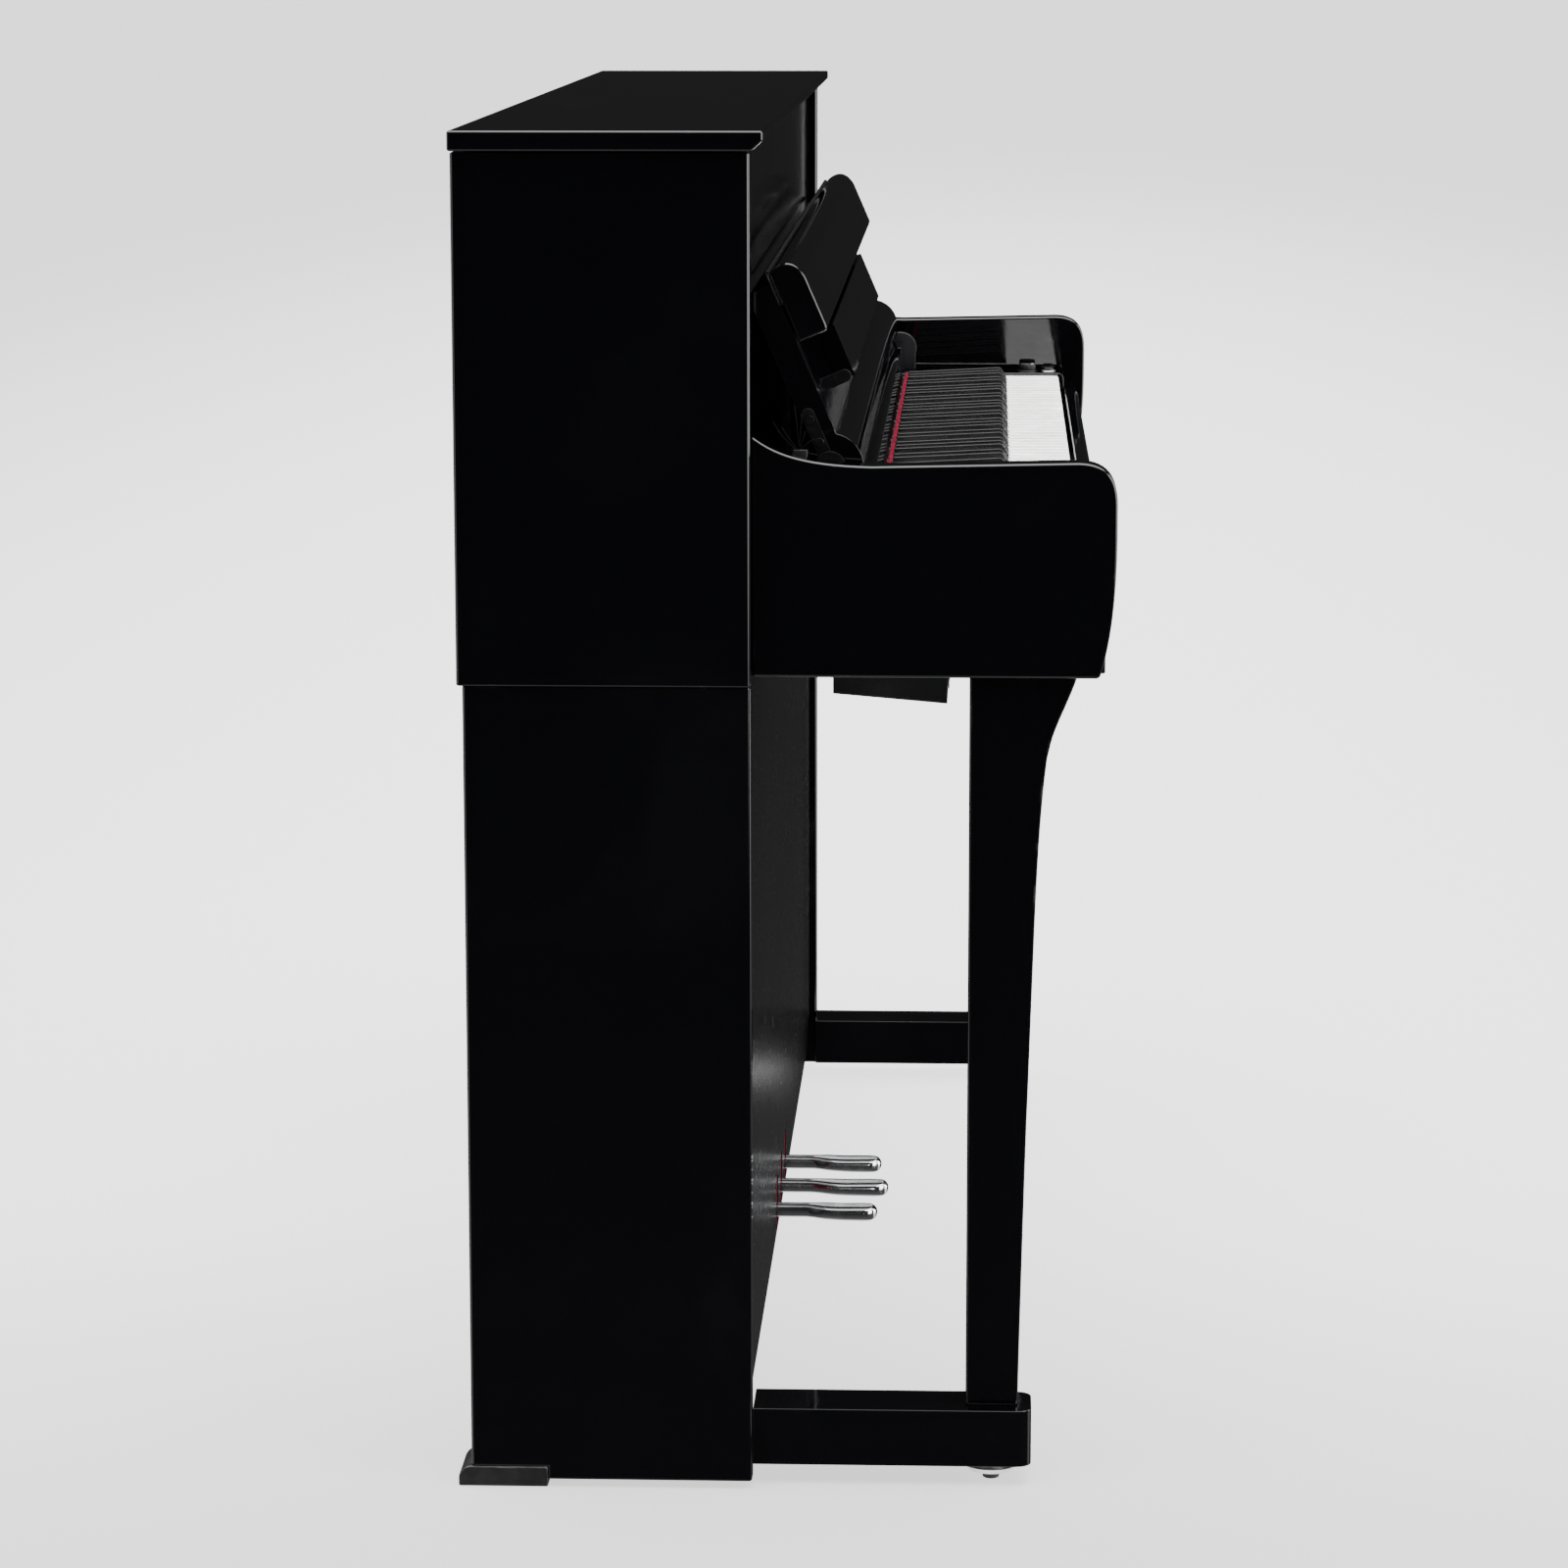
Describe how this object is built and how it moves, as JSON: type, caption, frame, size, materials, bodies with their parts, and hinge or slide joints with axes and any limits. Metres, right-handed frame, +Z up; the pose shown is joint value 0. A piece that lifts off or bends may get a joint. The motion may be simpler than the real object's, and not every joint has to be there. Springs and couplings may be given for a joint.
{
  "type": "digital piano on stand",
  "caption": "Upright-style digital piano in polished black on built-in legs, with weighted keys, folding fallboard with lip and music ledge, hinged lid and chrome pedals.",
  "frame": {"origin": "on the floor, at the middle of the footprint", "axes": "+Z up, -Y towards the player, -X the bass end, +X the treble end"},
  "size_m": [1.434, 0.4948, 1.027],
  "materials": {
    "polished_black": "polished polyester",
    "satin_black": "satin black paint",
    "white_key": "smooth",
    "black_key": "satin",
    "red_felt": "wool felt",
    "steel": "brushed",
    "chrome": "polished",
    "grey_cap": "satin",
    "circuit_board": "solder mask",
    "power_case": "plain sheet",
    "speaker": "paper and rubber",
    "grille": "woven cloth",
    "dark_plastic": "fine grain",
    "lamp": "milky",
    "frame_steel": "grey paint",
    "black_steel": "black paint"
  },
  "bodies": {
    "case": {"upper_side_left": "polished_black", "upper_side_right": "polished_black", "lower_side_left": "polished_black", "lower_side_right": "polished_black", "arm_left": "polished_black", "arm_right": "polished_black", "legs": "polished_black", "toe_blocks": "polished_black", "rear_feet": "satin_black", "adjuster_feet": "chrome", "upper_front_panel": "polished_black", "lower_front_panel": "polished_black", "upper_back_panel": "satin_black", "lower_back_panel": "satin_black", "bottom_board": "satin_black", "inner_board": "satin_black", "keybed": "satin_black", "key_slip": "polished_black", "key_block_left": "polished_black", "key_block_right": "polished_black", "cheek_caps": "grey_cap", "name_board": "polished_black", "name_board_felt": "red_felt", "lid_hinges": "steel", "fallboard_pivots": "black_steel", "pedal_frame": "frame_steel", "pedal_felts": "red_felt", "key_frame": "frame_steel", "key_sensor_board": "circuit_board", "main_board": "circuit_board", "power_supply": "power_case", "woofers": "speaker", "speaker_grilles": "grille", "headphone_box": "dark_plastic", "ac_inlet": "dark_plastic", "power_lamp": "lamp", "panel_screws": "steel"},
    "lid": {"lid": "polished_black", "lid_hinge_straps": "steel"},
    "fallboard": {"fallboard_panel": "polished_black", "fallboard_rail": "polished_black", "lip_hinge": "black_steel", "fallboard_fittings": "black_steel"},
    "lip": {"fallboard_lip": "polished_black", "lip_hinge_leaf": "black_steel"},
    "ledge": {"music_ledge": "polished_black"},
    "keys_c": {"keys_c": "white_key"},
    "keys_d": {"keys_d": "white_key"},
    "keys_e": {"keys_e": "white_key"},
    "keys_f": {"keys_f": "white_key"},
    "keys_g": {"keys_g": "white_key"},
    "keys_a": {"keys_a": "white_key"},
    "keys_b": {"keys_b": "white_key"},
    "black_keys_twos": {"black_keys_twos": "black_key"},
    "black_keys_threes": {"black_keys_threes": "black_key"},
    "pedal_soft": {"pedal_soft": "chrome"},
    "pedal_sostenuto": {"pedal_sostenuto": "chrome"},
    "pedal_damper": {"pedal_damper": "chrome"},
    "volume_knob": {"volume_knob": "dark_plastic"},
    "power_button": {"power_button": "dark_plastic"}
  },
  "joints": [
    {"name": "lid_hinge", "type": "hinge", "parent": "case", "child": "lid", "pos_m": [0, 0.2436, 1.0112], "axis": [-1, 0, 0], "range_deg": [0, 95]},
    {"name": "fallboard_fold", "type": "hinge", "parent": "case", "child": "fallboard", "pos_m": [0, -0.034, 0.776], "axis": [1, 0, 0], "range_deg": [0, 113.3]},
    {"name": "lip_fold", "type": "hinge", "parent": "fallboard", "child": "lip", "pos_m": [0, 0.01321, 0.91899], "axis": [-1, 0, 0], "range_deg": [0, 180]},
    {"name": "ledge_fold", "type": "hinge", "parent": "fallboard", "child": "ledge", "pos_m": [0, -0.03771, 0.82224], "axis": [-1, 0, 0], "range_deg": [-90, 0]},
    {"name": "keys_c_press", "type": "hinge", "parent": "case", "child": "keys_c", "pos_m": [0, 0.005, 0.7017], "axis": [1, 0, 0], "range_deg": [0, 2.5], "stiffness_Nm_per_rad": 10, "springref_deg": -11.46},
    {"name": "keys_d_press", "type": "hinge", "parent": "case", "child": "keys_d", "pos_m": [0, 0.005, 0.7017], "axis": [1, 0, 0], "range_deg": [0, 2.5], "stiffness_Nm_per_rad": 10, "springref_deg": -11.46},
    {"name": "keys_e_press", "type": "hinge", "parent": "case", "child": "keys_e", "pos_m": [0, 0.005, 0.7017], "axis": [1, 0, 0], "range_deg": [0, 2.5], "stiffness_Nm_per_rad": 10, "springref_deg": -11.46},
    {"name": "keys_f_press", "type": "hinge", "parent": "case", "child": "keys_f", "pos_m": [0, 0.005, 0.7017], "axis": [1, 0, 0], "range_deg": [0, 2.5], "stiffness_Nm_per_rad": 10, "springref_deg": -11.46},
    {"name": "keys_g_press", "type": "hinge", "parent": "case", "child": "keys_g", "pos_m": [0, 0.005, 0.7017], "axis": [1, 0, 0], "range_deg": [0, 2.5], "stiffness_Nm_per_rad": 10, "springref_deg": -11.46},
    {"name": "keys_a_press", "type": "hinge", "parent": "case", "child": "keys_a", "pos_m": [0, 0.005, 0.7017], "axis": [1, 0, 0], "range_deg": [0, 2.5], "stiffness_Nm_per_rad": 10, "springref_deg": -11.46},
    {"name": "keys_b_press", "type": "hinge", "parent": "case", "child": "keys_b", "pos_m": [0, 0.005, 0.7017], "axis": [1, 0, 0], "range_deg": [0, 2.5], "stiffness_Nm_per_rad": 10, "springref_deg": -11.46},
    {"name": "black_keys_twos_press", "type": "hinge", "parent": "case", "child": "black_keys_twos", "pos_m": [0, 0.005, 0.7017], "axis": [1, 0, 0], "range_deg": [0, 2.5], "stiffness_Nm_per_rad": 10, "springref_deg": -11.46},
    {"name": "black_keys_threes_press", "type": "hinge", "parent": "case", "child": "black_keys_threes", "pos_m": [0, 0.005, 0.7017], "axis": [1, 0, 0], "range_deg": [0, 2.5], "stiffness_Nm_per_rad": 10, "springref_deg": -11.46},
    {"name": "pedal_soft_press", "type": "hinge", "parent": "case", "child": "pedal_soft", "pos_m": [0, 0.12, 0.054], "axis": [1, 0, 0], "range_deg": [0, 4], "stiffness_Nm_per_rad": 20, "springref_deg": -2.86},
    {"name": "pedal_sostenuto_press", "type": "hinge", "parent": "case", "child": "pedal_sostenuto", "pos_m": [0, 0.12, 0.054], "axis": [1, 0, 0], "range_deg": [0, 4], "stiffness_Nm_per_rad": 20, "springref_deg": -2.86},
    {"name": "pedal_damper_press", "type": "hinge", "parent": "case", "child": "pedal_damper", "pos_m": [0, 0.12, 0.054], "axis": [1, 0, 0], "range_deg": [0, 4], "stiffness_Nm_per_rad": 20, "springref_deg": -2.86},
    {"name": "volume_turn", "type": "hinge", "parent": "case", "child": "volume_knob", "pos_m": [0.64, -0.19, 0.7314], "axis": [0, 0, 1], "range_deg": [-150, 150]},
    {"name": "power_push", "type": "slide", "parent": "case", "child": "power_button", "axis": [0, 0, -1], "range_m": [0, 0.002], "stiffness_N_per_m": 400, "springref_m": -0.001}
  ],
  "couplings": [
    {"joint": "lip_fold", "follows": "fallboard_fold", "ratio": 1.5887}
  ]
}
